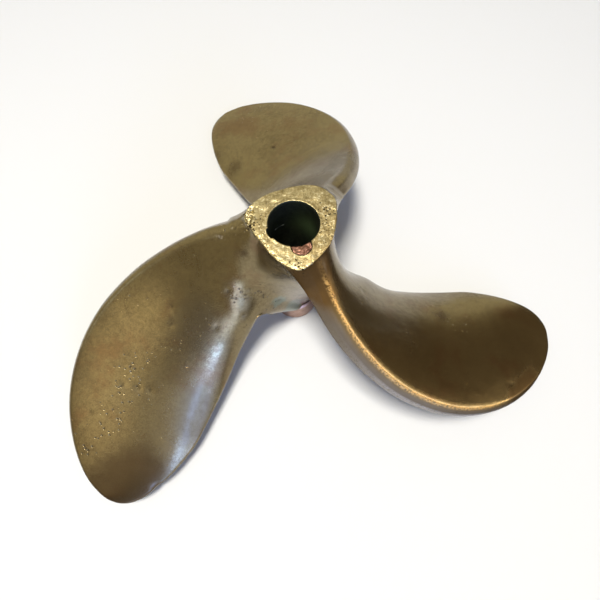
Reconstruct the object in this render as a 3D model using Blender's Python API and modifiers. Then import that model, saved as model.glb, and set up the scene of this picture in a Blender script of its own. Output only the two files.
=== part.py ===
"""Three-bladed left-hand boat propeller with a keyed taper bore, a copper peg and an end collar.

The propeller stands on its end collar with the large mouth of the bore up. The origin is on the
bore's axis at the height of the centre of mass, and +Z is the axis. +X and +Y are level.
"""

import math

import bmesh
import bpy
import numpy as np

MM = 0.001

# Driving dimensions
BLADES = 3
TIP_RADIUS = 165.0 * MM
MOUTH_RADIUS = 12.7 * MM
TAPER = 1.0 / 32.0
FACE_HEIGHT = 49.8 * MM
HUB_LENGTH = 80.0 * MM
TOTAL_LENGTH = 98.0 * MM
GAP = 0.3 * MM

# Hub outline: depth below the face and radius, in millimetres. It bellies out under the face and
# tapers to its lower end.
HUB_STATIONS = (
    (0.0, 20.4),
    (7.0, 22.0),
    (16.0, 23.3),
    (28.0, 23.4),
    (42.0, 21.6),
    (58.0, 18.3),
    (70.0, 15.7),
    (80.0, 14.0),
)

# Hub details
RISER = 6.0 * MM
SHOULDER_RADIUS = 1.5 * MM
END_FACING = 17.5 * MM
COLLAR_RADIUS = 14.2 * MM
COLLAR_BORE = 10.6 * MM
COLLAR_EDGE = 1.2 * MM
KEYWAY_ANGLE = math.radians(207.0)
KEYWAY_WIDTH = 6.0 * MM
KEYWAY_DEPTH = 1.2 * MM
PEG_ANGLE = math.radians(287.0)
PEG_CENTRE = 12.9 * MM
PEG_RADIUS = 5.1 * MM
PEG_LENGTH = 18.0 * MM
PEG_DROP = 0.6 * MM

# Blade stations: radius, angle of the mid chord in degrees, its height below the hub's face,
# pitch, and width before the tip is rounded off. Lengths are in millimetres.
STATIONS = (
    (18.0, 196.5, -20.0, 215.0, 50.0),
    (36.0, 200.2, -32.8, 240.0, 61.0),
    (55.0, 203.5, -45.8, 282.0, 76.0),
    (73.0, 207.6, -54.7, 286.0, 88.0),
    (92.0, 211.6, -61.5, 275.0, 96.5),
    (110.0, 215.5, -66.6, 262.0, 100.0),
    (128.0, 219.2, -71.2, 248.0, 100.0),
    (147.0, 223.5, -76.8, 231.0, 100.0),
    (165.0, 228.7, -83.8, 215.0, 100.0),
)
WIDEST_RADIUS = 108.0 * MM
EDGE_THICKNESS = 3.6 * MM
ROOT_THICKNESS = 13.0 * MM
TIP_THICKNESS = 4.4 * MM
TIP_ROUNDING = 3.0 * MM
THINNING = 0.8

# The back is flat as far as a soft bevel beside the leading edge, and falls away to the trailing edge
BEVEL_WIDTH = 4.2 * MM
BEVEL_EXTRA = 2.0 * MM
BEVEL_FADE = 35.0 * MM
BEVEL_SOFTNESS = 0.14
TRAILING_POWER = 4.5

# Blade roots: the fillets, the leading edge that is thick and square near the hub, and the trailing
# edge that runs down to the hub's lower end
BURIED_RADIUS = 8.0 * MM
ROOT_RADIUS = 15.0 * MM
SIDE_FILLET = 14.0 * MM
FILLET_SINK = 1.0 * MM
LEADING_FILLET = 6.0 * MM
LEADING_EXTRA = 4.2 * MM
LEADING_SQUARE = 3.5
LEADING_FROM = 20.0 * MM
LEADING_FADE = 45.0 * MM
SQUARE_FADE = 40.0 * MM
LEADING_RISE = 1.5 * MM
LEADING_START = 36.0 * MM
TRAILING_DROP = 40.0 * MM
TRAILING_SWEEP = 3.0 * MM
TRAILING_START = 38.0 * MM
ROOT_END = 12.0 * MM

# Fineness of the mesh
RADIAL_STEPS = 26
CHORD_STEPS = 18
TURN_STEPS = 48
HUB_STEPS = 13
SHOULDER_STEPS = 3
PEG_STEPS = 24
WELD_DISTANCE = 0.01 * MM
DOUBLE_DISTANCE = 0.01 * MM
SHARP_ANGLE = math.radians(35.0)

# How far the cutting tools reach past the casting
OVERSHOOT = 10.0 * MM
FACING_HEIGHT = 60.0 * MM
FACING_WIDTH = 82.0 * MM


def clear_scene():
    for old in list(bpy.data.objects):
        bpy.data.objects.remove(old, do_unlink=True)


def new_collection(name):
    collection = bpy.data.collections.new(name)
    bpy.context.scene.collection.children.link(collection)
    return collection


def material(name, colour, roughness, metallic=1.0):
    made = bpy.data.materials.new(name)
    made.use_nodes = True
    shader = made.node_tree.nodes["Principled BSDF"]
    shader.inputs["Base Color"].default_value = (*colour, 1.0)
    shader.inputs["Roughness"].default_value = roughness
    shader.inputs["Metallic"].default_value = metallic
    return made


def object_from(name, mesh, collection):
    made = bpy.data.objects.new(name, mesh)
    collection.objects.link(made)
    return made


def smooth_step(x):
    x = np.clip(x, 0.0, 1.0)
    return x * x * (3.0 - 2.0 * x)


def table_curve(table, column, place):
    """Smooth curve through one column of a table, a Catmull-Rom spline over its first column."""
    table = np.array(table)
    known = table[:, 0]
    value = table[:, column]
    slope = np.gradient(value, known)
    x = np.clip(place / MM, known[0], known[-1])
    i = np.clip(np.searchsorted(known, x, side="right") - 1, 0, len(known) - 2)
    span = known[i + 1] - known[i]
    u = (x - known[i]) / span
    return (value[i] * (1 + 2 * u) * (1 - u) ** 2 + value[i + 1] * u * u * (3 - 2 * u)
            + span * slope[i] * u * (1 - u) ** 2 - span * slope[i + 1] * u * u * (1 - u))


def hub_radius(height):
    """Outer radius of the hub at a height, measured from its face."""
    return table_curve(HUB_STATIONS, 1, -height) * MM


def fillet(distance, radius):
    """Width that a round fillet adds at a distance outside the hub. It runs a little way under the
    hub's skin, so that the two cross at a clear angle."""
    reach = np.clip(1.0 - (distance + FILLET_SINK) / radius, 0.0, 1.0)
    return radius * (1.0 - np.sqrt(1.0 - reach * reach))


def fading(radius, fade):
    """1 at the hub, falling off outwards."""
    return math.exp(-max(radius - LEADING_FROM, 0.0) / fade)


def near_hub(radius, start):
    """0 from the start outwards, rising to 1 at the root's end."""
    return smooth_step((start - radius) / (start - ROOT_END))


def back_shape(s, half_width, radius):
    """Height of the arched back above its edges, from 0 to 1: level up to the bevel beside the leading
    edge, which starts with a soft corner, and a flat power curve towards the trailing edge."""
    share = (BEVEL_WIDTH + BEVEL_EXTRA * fading(radius, BEVEL_FADE)) / max(half_width, MM)
    share = min(share, 0.5)
    corner = (np.abs(s) - 1.0 + share) / (share * BEVEL_SOFTNESS)
    leading = 1.0 - BEVEL_SOFTNESS * np.log1p(np.exp(corner))
    return np.maximum(np.where(s < 0, leading, 1.0 - np.abs(s) ** TRAILING_POWER), 0.0)


def blade_section(radius):
    """Closed loop of points around one blade section, on the cylinder of this radius.

    s runs from -1 at the leading edge to +1 at the trailing edge, first along the back, which is
    arched, and then back along the face, which is nearly flat.
    """
    turn = np.linspace(0.0, math.pi, CHORD_STEPS + 1)
    s = np.concatenate([-np.cos(turn), np.cos(turn[1:-1])])
    side = np.concatenate([np.ones(CHORD_STEPS + 1), -np.ones(CHORD_STEPS - 1)])
    side[0] = 0.0
    side[CHORD_STEPS] = 0.0
    shape_radius = max(radius, ROOT_RADIUS)
    mid_angle = math.radians(table_curve(STATIONS, 1, shape_radius))
    mid_height = table_curve(STATIONS, 2, shape_radius) * MM
    slope = math.atan(table_curve(STATIONS, 3, shape_radius) * MM / (2.0 * math.pi * shape_radius))
    outward = max(shape_radius - WIDEST_RADIUS, 0.0) / (TIP_RADIUS - WIDEST_RADIUS)
    half_width = 0.5 * table_curve(STATIONS, 4, shape_radius) * MM * math.sqrt(1.0 - min(outward, 1.0) ** 2)

    lead = np.clip(0.5 - 0.5 * s, 0.0, 1.0)
    run = (shape_radius - ROOT_RADIUS) / (TIP_RADIUS - ROOT_RADIUS)
    thickness = ROOT_THICKNESS + (TIP_THICKNESS - ROOT_THICKNESS) * run ** THINNING
    plain_edge = 0.5 * EDGE_THICKNESS + LEADING_EXTRA * fading(shape_radius, LEADING_FADE) * lead ** 2
    rounding = math.sqrt(max(1.0 - max((shape_radius - TIP_RADIUS) / TIP_ROUNDING + 1.0, 0.0) ** 2, 0.0))
    arch = np.maximum(thickness - 2.0 * plain_edge, 0.0) * back_shape(s, half_width, shape_radius)
    along = s * half_width
    outside = shape_radius - hub_radius(mid_height - along * math.sin(slope))
    half_edge = plain_edge + fillet(outside, SIDE_FILLET)
    edge = np.clip((1.0 - np.abs(s)) * half_width / half_edge, 0.0, 1.0)
    square = 2.0 + LEADING_SQUARE * fading(shape_radius, SQUARE_FADE) * lead
    rim = half_edge * (1.0 - (1.0 - edge) ** square) ** (1.0 / square)
    across = (side * rim + np.where(side > 0, arch, 0.0)) * rounding
    along = along - np.where(s < 0, s * s, 0.0) * fillet(outside, LEADING_FILLET)
    drop = near_hub(shape_radius, TRAILING_START) * (1.0 - lead) ** 2
    rise = near_hub(shape_radius, LEADING_START) * lead ** 2

    arc = along * math.cos(slope) + across * math.sin(slope) + TRAILING_SWEEP * drop
    height = mid_height - along * math.sin(slope) + across * math.cos(slope)
    height = height - TRAILING_DROP * drop + LEADING_RISE * rise
    angle = mid_angle + arc / shape_radius
    return np.stack([radius * np.cos(angle), radius * np.sin(angle), height + FACE_HEIGHT], axis=1)


def blade_mesh(name, turn):
    """Loft over the blade's sections from inside the hub to the tip, closed at both ends."""
    spread = np.linspace(0.0, math.pi, RADIAL_STEPS + 1)[:-1]
    radii = ROOT_RADIUS + (TIP_RADIUS - ROOT_RADIUS) * 0.5 * (1.0 - np.cos(spread))
    rings = [blade_section(radius) for radius in [BURIED_RADIUS, *radii]]
    count = len(rings[0])
    tip = blade_section(TIP_RADIUS).mean(axis=0)
    points = np.concatenate([*rings, tip[None, :]])
    cosine, sine = math.cos(turn), math.sin(turn)
    points = points @ np.array([[cosine, sine, 0.0], [-sine, cosine, 0.0], [0.0, 0.0, 1.0]])
    faces = []
    for ring in range(len(rings) - 1):
        for i in range(count):
            j = (i + 1) % count
            low, high = ring * count, (ring + 1) * count
            faces.append((low + i, low + j, high + j, high + i))
    last = (len(rings) - 1) * count
    faces += [(last + i, last + (i + 1) % count, len(points) - 1) for i in range(count)]
    faces.append(tuple(range(count - 1, -1, -1)))
    mesh = bpy.data.meshes.new(name)
    mesh.from_pydata(points.tolist(), [], faces)
    close_up(mesh)
    return mesh


def close_up(mesh):
    """Points all faces outwards."""
    shell = bmesh.new()
    shell.from_mesh(mesh)
    bmesh.ops.remove_doubles(shell, verts=shell.verts, dist=DOUBLE_DISTANCE)
    bmesh.ops.recalc_face_normals(shell, faces=shell.faces)
    shell.to_mesh(mesh)
    shell.free()


def turned(name, profile, collection):
    """Turned body: a profile of radius and height, top to bottom, under a Screw modifier."""
    points = [(radius, 0.0, height) for radius, height in profile]
    edges = [(i, i + 1) for i in range(len(points) - 1)]
    mesh = bpy.data.meshes.new(name)
    mesh.from_pydata(points, edges, [])
    made = object_from(name, mesh, collection)
    screw = made.modifiers.new("Turn", "SCREW")
    screw.steps = TURN_STEPS
    screw.render_steps = TURN_STEPS
    screw.use_merge_vertices = True
    screw.merge_threshold = DOUBLE_DISTANCE
    return made


def boolean(target, tool, operation):
    made = target.modifiers.new(operation.title() + " " + tool.name, "BOOLEAN")
    made.operation = operation
    made.solver = "EXACT"
    made.object = tool


def weld(target):
    """Merges the points that a cut leaves a few thousandths of a millimetre apart."""
    made = target.modifiers.new("Weld", "WELD")
    made.merge_threshold = WELD_DISTANCE


def hide_tool(tool):
    tool.hide_render = True
    tool.display_type = "WIRE"


def hub_profile():
    """Hub from the riser that is faced off, down its bellied side and round the lower shoulder."""
    depths = np.linspace(0.0, HUB_LENGTH - SHOULDER_RADIUS, HUB_STEPS)
    side = [(float(hub_radius(-depth)), FACE_HEIGHT - depth) for depth in depths]
    centre_radius = side[-1][0] - SHOULDER_RADIUS
    turns = np.linspace(0.0, 0.5 * math.pi, SHOULDER_STEPS + 1)[1:]
    shoulder = [(centre_radius + SHOULDER_RADIUS * math.cos(turn),
                 side[-1][1] - SHOULDER_RADIUS * math.sin(turn)) for turn in turns]
    riser = [(0.0, FACE_HEIGHT + RISER), (side[0][0], FACE_HEIGHT + RISER)]
    return riser + side + shoulder + [(0.0, FACE_HEIGHT - HUB_LENGTH)]


def bore_radius(height):
    """Radius of the taper bore at a world height."""
    return MOUTH_RADIUS - (FACE_HEIGHT - height) * TAPER


def make_bore_tool(tools):
    high, low = FACE_HEIGHT + OVERSHOOT, FACE_HEIGHT - TOTAL_LENGTH - OVERSHOOT
    profile = [(0.0, high), (bore_radius(high), high), (bore_radius(low), low), (0.0, low)]
    return turned("bore_tool", profile, tools)


def box(name, size, centre, tools):
    shell = bmesh.new()
    bmesh.ops.create_cube(shell, size=1.0)
    bmesh.ops.scale(shell, vec=size, verts=shell.verts)
    bmesh.ops.translate(shell, vec=centre, verts=shell.verts)
    mesh = bpy.data.meshes.new(name)
    shell.to_mesh(mesh)
    shell.free()
    return object_from(name, mesh, tools)


def rod(name, radius, top, bottom, collection):
    """Upright rod whose own axis stands at the seat of the peg."""
    shell = bmesh.new()
    bmesh.ops.create_cone(shell, cap_ends=True, segments=PEG_STEPS, radius1=radius,
                          radius2=radius, depth=top - bottom)
    centre = (PEG_CENTRE * math.cos(PEG_ANGLE), PEG_CENTRE * math.sin(PEG_ANGLE), 0.5 * (top + bottom))
    bmesh.ops.translate(shell, vec=centre, verts=shell.verts)
    mesh = bpy.data.meshes.new(name)
    shell.to_mesh(mesh)
    shell.free()
    return object_from(name, mesh, collection)


def make_keyway_tool(tools):
    """Square bar that leans with the taper, so that the keyway keeps its depth."""
    reach = KEYWAY_DEPTH + MOUTH_RADIUS
    length = TOTAL_LENGTH + 2.0 * OVERSHOOT
    tool = box("keyway_tool", (reach, KEYWAY_WIDTH, length), (0.5 * reach, 0.0, 0.0), tools)
    lean = math.atan(TAPER)
    middle = FACE_HEIGHT - 0.5 * TOTAL_LENGTH
    shift = bore_radius(middle) - MOUTH_RADIUS
    tool.rotation_euler = (0.0, lean, KEYWAY_ANGLE)
    tool.location = (shift * math.cos(KEYWAY_ANGLE), shift * math.sin(KEYWAY_ANGLE), middle)
    return tool


def make_casting(parts, tools):
    """Hub and blades in one: united, faced off flat at the top, then bored."""
    casting = turned("propeller_casting", hub_profile(), parts)
    for number in range(BLADES):
        name = f"blade_form_{number + 1}"
        blade = object_from(name, blade_mesh(name, number * math.tau / BLADES), tools)
        hide_tool(blade)
        boolean(casting, blade, "UNION")
        weld(casting)
    facing = box("facing_tool", (FACING_WIDTH, FACING_WIDTH, FACING_HEIGHT),
                 (0.0, 0.0, FACE_HEIGHT + 0.5 * FACING_HEIGHT), tools)
    seat_depth = PEG_DROP + PEG_LENGTH + GAP
    seat = rod("peg_seat_tool", PEG_RADIUS + GAP, FACE_HEIGHT + FACING_HEIGHT, FACE_HEIGHT - seat_depth, tools)
    low = FACE_HEIGHT - HUB_LENGTH
    end_profile = [(0.0, low), (END_FACING, low), (END_FACING, low - HUB_LENGTH), (0.0, low - HUB_LENGTH)]
    end_facing = turned("end_facing_tool", end_profile, tools)
    for tool in (facing, end_facing, make_bore_tool(tools), make_keyway_tool(tools), seat):
        hide_tool(tool)
        boolean(casting, tool, "DIFFERENCE")
        weld(casting)
    casting.data.materials.append(material("cast_bronze", (0.30, 0.22, 0.10), 0.38))
    return casting


def make_peg(parts, tools):
    """Round peg in its seat, cut to a half moon by the bore."""
    peg = rod("copper_peg", PEG_RADIUS, FACE_HEIGHT - PEG_DROP, FACE_HEIGHT - PEG_DROP - PEG_LENGTH, parts)
    boolean(peg, tools.objects["bore_tool"], "DIFFERENCE")
    peg.data.materials.append(material("copper", (0.45, 0.17, 0.09), 0.5))
    return peg


def make_collar(parts):
    """Plain ring under the hub's lower end, with eased outer edges."""
    top = FACE_HEIGHT - HUB_LENGTH - GAP
    low = FACE_HEIGHT - TOTAL_LENGTH
    inner = COLLAR_BORE
    outline = [(inner, top), (COLLAR_RADIUS - COLLAR_EDGE, top), (COLLAR_RADIUS, top - COLLAR_EDGE),
               (COLLAR_RADIUS, low + COLLAR_EDGE), (COLLAR_RADIUS - COLLAR_EDGE, low), (inner, low),
               (inner, top)]
    collar = turned("end_collar", outline, parts)
    collar.data.materials.append(material("pink_copper", (0.48, 0.29, 0.20), 0.45))
    return collar


def finish(made):
    made.data.shade_smooth()
    made.data.set_sharp_from_angle(angle=SHARP_ANGLE)


def main():
    clear_scene()
    parts = new_collection("ship_propeller")
    tools = new_collection("cutters")
    for made in (make_casting(parts, tools), make_peg(parts, tools), make_collar(parts)):
        finish(made)


main()
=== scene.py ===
import math

import bmesh
import bpy
import numpy as np
from mathutils import Matrix, Vector


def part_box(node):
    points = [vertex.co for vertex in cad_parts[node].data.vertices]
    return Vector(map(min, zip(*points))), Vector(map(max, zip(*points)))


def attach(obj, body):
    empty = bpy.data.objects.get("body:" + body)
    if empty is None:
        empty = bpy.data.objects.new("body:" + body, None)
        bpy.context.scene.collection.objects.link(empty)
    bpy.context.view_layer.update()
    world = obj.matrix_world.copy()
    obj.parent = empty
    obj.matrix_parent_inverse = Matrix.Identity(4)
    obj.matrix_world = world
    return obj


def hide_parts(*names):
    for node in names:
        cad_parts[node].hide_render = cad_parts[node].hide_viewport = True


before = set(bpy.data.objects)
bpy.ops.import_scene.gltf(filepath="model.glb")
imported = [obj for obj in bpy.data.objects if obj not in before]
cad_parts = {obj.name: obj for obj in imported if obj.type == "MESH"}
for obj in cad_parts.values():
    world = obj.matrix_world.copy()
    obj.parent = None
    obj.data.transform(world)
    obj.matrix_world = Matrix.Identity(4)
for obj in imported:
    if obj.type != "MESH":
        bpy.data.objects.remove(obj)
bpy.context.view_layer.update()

mm = 0.001
nearly = 0.000002  # metres, within which two levels are the same
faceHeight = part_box("propeller_casting")[1].z  # the hub's filed face
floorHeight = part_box("end_collar")[0].z  # the collar stands on the floor

# The three equal thirds of the casting. Lengths are in millimetres, angles in degrees, and heights
# are counted from the hub's face. A station is radius, angle and height of the mid chord, pitch, width.
casting = {
    "blades": 3,
    "tipRadius": 164.6,
    "stations": (
        (18.0, 196.5, -20.0, 215.0, 50.0),
        (36.0, 200.2, -32.8, 240.0, 61.0),
        (55.0, 203.5, -45.8, 282.0, 76.0),
        (73.0, 207.6, -54.7, 286.0, 88.0),
        (92.0, 211.6, -61.5, 275.0, 96.5),
        (110.0, 215.5, -66.6, 262.0, 100.0),
        (128.0, 219.2, -71.2, 248.0, 100.0),
        (147.0, 223.5, -76.8, 231.0, 100.0),
        (165.0, 228.7, -83.8, 215.0, 100.0),
    ),
    "widestRadius": 108.0,
    "thickness": (13.0, 4.4),  # at the root and at the tip
    "thinning": (15.0, 0.8),  # radius where the blade starts to thin, and the power that it follows
    "edgeThickness": 2.8,
    "hubRadius": 20.0,  # where what is added at the hub starts to fade
    # the back is flat as far as a bevel beside the leading edge: its width at the tip and what is
    # added at the hub, how fast that fades, and how round the ridge is
    "bevel": (3.2, 1.7, 35.0, 0.20),
    "trailingPower": 4.5,  # how flat the back stays before it falls to the trailing edge
    "cornerSquare": (3.5, 40.0),  # how square the leading edge is at the hub, and how that fades
    "leadingExtra": (4.2, 45.0),  # how much blunter it is there, and how that fades
    "hubLength": 80.0,
    # depth and radius of the hub, which bellies out under its face and tapers to its lower end
    "hubStations": (
        (0.0, 20.4), (7.0, 22.0), (16.0, 23.3), (28.0, 23.4), (42.0, 21.6), (58.0, 17.6), (70.0, 14.4),
        (80.0, 12.4),
    ),
    "dividingAngle": 160.0,  # of the line between two blades, at the face
    "riser": 26.0,  # metal above the face and below the end, before both are cut flat
    "leadRise": 1.5,  # the leading edge climbs through the face, which makes its corners
    "leadStart": 36.0,  # the radius where it starts to climb
    "trailDrop": 40.0,  # the trailing edge runs down to the hub's lower end
    "trailSweep": 3.0,
    "trailStart": 38.0,
    "rootEnd": 12.0,
    "backFillet": (15.0, 15.0),  # at the leading and at the trailing edge
    "faceFillet": (15.0, 11.0),
    "edgeRound": (0.6, 4),  # rounding of the face's and the end's outline, and its rows
    # outline of the face, filed by hand and not quite regular, as angle and radius
    "faceOutline": (
        (2, 20.9), (22, 23.0), (35, 25.3), (47, 25.6), (58, 25.3), (71, 24.2), (83, 22.7),
        (94, 21.6), (106, 21.0), (119, 21.3), (132, 22.1), (146, 23.2), (158, 24.3), (169, 24.9),
        (177, 24.2), (187, 21.6), (199, 20.0), (216, 18.9), (234, 19.9), (254, 22.3), (267, 24.4),
        (279, 25.6), (289, 24.1), (304, 22.1), (329, 20.8), (344, 20.4),
    ),
    "outlineDepth": 24.0,  # how far down the filing is felt
    "columns": 80,  # along each side of a section
    "filletShare": 0.97,  # of the hub between two blades
    "easeRounds": 160,  # how often the roots are evened out
    "easeRadius": (34.0, 46.0),
    "easeDepth": (1.0, 6.0),
    "easeEdge": (0.80, 0.93),
    "hubRows": 2,
    "filletRows": 20,
    "bladeRows": 130,
    "rowCrowding": 1.45,  # how much closer the rows stand at the tip
    "cutWithin": 45.0,  # the level cuts at both ends reach no farther out than this
    "unevenness": ((26.0, 0.06), (9.0, 0.02)),  # sizes and depths of the swells left by the mould
    "unevenFrom": (0.8, 5.8),  # how far below the face they start and are full
}

# Marks on the casting: place in millimetres from the origin of the frame, size and depth or strength
marks = {
    "dents": (
        (-67.9, -27.9, 7.4, 1.6, 0.28), (-68.5, -36.4, 1.6, 1.5, 0.25), (-92.4, -51.8, -6.0, 1.5, 0.30),
        (-95.8, -56.6, -7.9, 1.3, 0.25), (-95.7, -67.5, -12.2, 1.7, 0.32), (-87.4, -68.9, -13.5, 2.0, 0.34),
        (-80.9, -70.3, -14.8, 1.8, 0.30), (-113.6, -81.9, -16.9, 1.6, 0.25), (-43.6, -37.3, -0.4, 1.8, 0.32),
        (-28.2, -31.6, 4.0, 1.6, 0.20), (-35.3, -22.5, 16.7, 2.0, 0.34), (-31.0, -23.6, 15.0, 1.2, 0.14),
        (-29.1, -24.5, 13.3, 1.1, 0.10), (-24.0, -20.8, 17.0, 1.3, 0.26), (-16.4, -21.3, 10.1, 1.4, 0.30),
        (-8.6, -20.4, -0.9, 2.2, 0.30), (-29.7, 0.2, 43.9, 1.6, 0.35), (-38.1, -1.6, 38.0, 2.0, 0.35),
        (-16.4, 101.7, -12.7, 1.2, 0.30), (58.1, -38.4, 5.4, 1.2, 0.22), (140.2, -37.8, -24.0, 1.3, 0.22),
        (123.5, -65.5, -14.4, 1.9, 0.26), (37.4, -22.4, 17.9, 1.3, 0.24), (-76.5, -121.5, -34.6, 2.6, 0.80),
        (16.5, 7.2, 49.8, 0.8, 0.10), (17.8, 5.4, 49.8, 0.7, 0.10), (15.9, 9.2, 49.8, 0.7, 0.10),
        (19.6, 7.6, 49.8, 0.6, 0.10), (20.4, 5.6, 49.8, 0.6, 0.10), (13.0, 12.0, 49.8, 0.6, 0.08),
        (-20.5, 3.5, 49.8, 0.7, 0.12), (-21.8, 0.8, 49.8, 0.7, 0.12), (-19.6, -3.5, 49.8, 0.8, 0.12),
    ),
    # Some of these are real stains; those at the right blade's tip and on its root beside the hub are
    # painted shade that dims highlights there
    "dark": (
        (-98.0, -128.0, -30.0, 26.0, 0.8), (-84.0, -112.0, -26.0, 15.0, 0.45),
        (-120.0, -60.0, -10.0, 12.0, 0.25), (-52.0, -39.0, -0.9, 14.0, 0.30),
        (-60.0, -12.0, 22.0, 26.0, 0.25), (-45.7, 94.5, -26.9, 7.0, 0.45),
        (-62.0, 110.0, -34.0, 10.0, 0.35), (89.5, -23.6, -15.5, 6.0, 0.45), (13.4, -19.7, 46.0, 7.0, 0.9),
        (4.5, -27.0, 46.0, 7.0, 1.2), (-16.4, 101.7, -12.7, 1.6, 1.0), (-25.4, -10.0, 37.7, 3.0, 0.5),
        (60.0, -45.0, 2.0, 16.0, 0.25), (125.0, -72.0, -14.0, 6.0, 0.7), (133.0, -66.0, -17.5, 7.0, 0.8),
        (141.0, -59.5, -21.0, 7.0, 0.6),
    ),
    "pitted": (
        (-30.0, -23.0, 14.0, 8.0, 1.0), (-10.0, -20.0, 2.0, 12.0, 0.7), (-34.0, 0.0, 40.0, 6.0, 0.8),
        (-88.0, -62.0, -11.0, 14.0, 0.55), (-108.0, -90.0, -20.0, 16.0, 0.45),
        (-45.0, -35.0, 1.0, 10.0, 0.5), (36.0, -24.0, 18.0, 8.0, 0.6), (17.0, 7.0, 49.0, 3.0, 0.9),
        (-23.0, -1.0, 49.0, 5.0, 1.0), (4.0, -24.0, 49.0, 5.0, 0.8),
    ),
    "dull": (
        (-57.0, -76.6, -23.7, 14.0, 1.2), (-59.4, -88.5, -28.0, 9.0, 1.0), (27.0, 58.0, 20.0, 15.0, 0.7),
    ),
    "brushed": (
        (7.0, -26.5, 46.0, 7.0, 1.4), (10.5, -29.5, 43.0, 7.0, 1.2), (14.5, -33.5, 40.0, 6.0, 1.0),
        (18.5, -40.0, 34.5, 8.0, 0.4),
    ),
    "tarnished": (
        (-3.0, -15.5, 49.8, 5.0, 0.5), (12.0, -10.5, 49.8, 6.0, 0.5), (-15.0, -6.0, 49.8, 4.5, 0.45),
        (-2.0, 19.0, 49.8, 9.0, 0.35), (12.0, 19.0, 49.8, 7.0, 0.35), (19.0, 8.0, 49.8, 4.0, 0.3),
    ),
    "scuffed": (
        (-30.9, 0.8, 42.8, 1.7, 1.0), (-38.8, -0.5, 37.2, 1.9, 1.0), (-36.9, -1.6, 38.0, 1.2, 0.9),
        (-35.3, -21.8, 16.6, 2.0, 0.6), (-31.5, -20.5, 18.6, 1.3, 0.6), (-67.6, -27.6, 6.9, 1.8, 0.7),
        (-68.1, -36.3, 1.2, 1.6, 0.7), (-95.4, -56.0, -8.0, 1.4, 0.6), (-88.5, -69.0, -14.0, 1.5, 0.6),
    ),
    # Where a pale line runs along the right blade's leading edge: a painted reflection of the floor in its
    # rim
    "paintedRimReflection": ((62.0, -58.0, 2.0, 34.0, 1.3), (98.0, -75.0, -10.0, 26.0, 1.0)),
    "green": (
        (8.2, 9.4, 31.0, 8.0, 0.9), (-8.6, -20.4, -0.9, 7.0, 0.8), (4.0, -16.0, -16.0, 9.0, 0.9),
        (-2.0, -18.0, -22.0, 8.0, 0.7),
    ),
}

# The taper bore with its keyway and the drilled seat of the peg
bore = {
    "mouthRadius": 12.7,
    "taper": 1.0 / 32.0,
    "keyAngle": 207.0,
    "keyWidth": 6.0,
    "keyDepth": 1.2,
    # in radians: a column at each side of the keyway's corners, and how near to them no other stands
    "keyColumns": (0.0006, 0.004),
    "pegAngle": 287.0,
    "pegCentre": 12.9,
    "pegRadius": 5.1,
    "pegLength": 18.0,
    "pegDrop": 0.3,
    "gap": 0.12,  # round the peg in its seat
    "chamfer": 0.35,
    "columns": 300,
    "rows": 12,
    "faceRows": 26,
    "scratch": ((-10.5, 6.2, 32.4), (-5.3, 10.9, 30.9)),  # on the wall, from and to in millimetres
}

# What the file left on the face: waves all over it, notches along its rim, and a step in its left
# corner. Size and depth of each, then the depth below the face at which it has faded.
filing = {
    "waves": (6.0, 0.20, 2.0),
    "mouthClear": (0.6, 1.5),  # how far outside the bore's mouth they start, and how softly
    "notches": (1.7, 0.34, 3.0),
    "notchedWidth": 2.6,
    "notchedMost": (232.0, 80.0, 0.25),  # angle, how far round it fades, and what is left there
    "step": (1.9, 0.9, 6.0),
    "stepAngles": (155.0, 192.0, 4.0),  # from, to, and how softly it starts and ends
    "stepSway": (5.0, 5.0, 12.0),  # by how many degrees its ends sway, in what size, and how far down
    "stepInner": (19.6, 2.6),  # radius and softness of its inner edge
}


# One property of all of a mesh's vertices, edges, corners or faces as an array
def readArray(items, name, columns=1, kind=np.float32):
    values = np.zeros(len(items) * columns, kind)
    items.foreach_get(name, values)
    return values.reshape(-1, columns) if columns > 1 else values


# A smooth uneven field over points, about 1 high: waves of many directions, all near one wave length,
# added up. Point and size are in millimetres.
def swells(point, size, seed, waves=18):
    chance = np.random.default_rng(seed)
    way = chance.normal(size=(3, waves))
    way = way / np.linalg.norm(way, axis=0) * math.tau / (size * chance.uniform(0.7, 1.5, waves))
    return np.sin(point @ way + chance.uniform(0.0, math.tau, waves)).sum(axis=1) * math.sqrt(2.0 / waves)


# Sum of round soft spots: strength times exp(-(distance / size)^2), with all places in millimetres
def spots(point, table):
    total = np.zeros(len(point))
    for x, y, z, size, strength in table:
        total += strength * np.exp(-((point - (x, y, z)) ** 2).sum(axis=1) / size ** 2)
    return total


def clamp(x):
    return np.clip(x, 0.0, 1.0)


def smoothStep(x):  # 3x^2 - 2x^3 between 0 and 1
    x = clamp(x)
    return x * x * (3.0 - 2.0 * x)


def fadeOut(x):  # 1 at 0, 0 at 1, smooth between
    return 1.0 - smoothStep(x)


def hills(point, size, seed):  # swells between 0 and 1
    return clamp(0.5 + 0.5 * swells(point, size, seed))


def between(x, limits):  # 0 at the first limit, 1 at the second, smooth between
    near, far = limits
    return smoothStep((x - near) / (far - near))


def blend(ends, part):  # from the first end to the second: a + (b - a) * part
    return ends[0] + (ends[1] - ends[0]) * part


# 1 at the hub and less outwards: e to the power of minus the distance from it over a length
def nearHub(radius, length):
    return np.exp(-np.maximum(radius - casting["hubRadius"], 0.0) / length)


# Smooth curve through one column of a table: cubic pieces with the slopes of their neighbours
def tableCurve(table, column, radius):
    table = np.array(table)
    known, value = table[:, 0], table[:, column]
    slope = np.gradient(value, known)
    r = np.clip(radius, known[0], known[-1])
    i = np.clip(np.searchsorted(known, r, side="right") - 1, 0, len(known) - 2)
    span = known[i + 1] - known[i]
    u = (r - known[i]) / span
    return (value[i] * (1 + 2 * u) * (1 - u) ** 2 + value[i + 1] * u * u * (3 - 2 * u)
            + span * slope[i] * u * (1 - u) ** 2 - span * slope[i + 1] * u * u * (1 - u))


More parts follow.
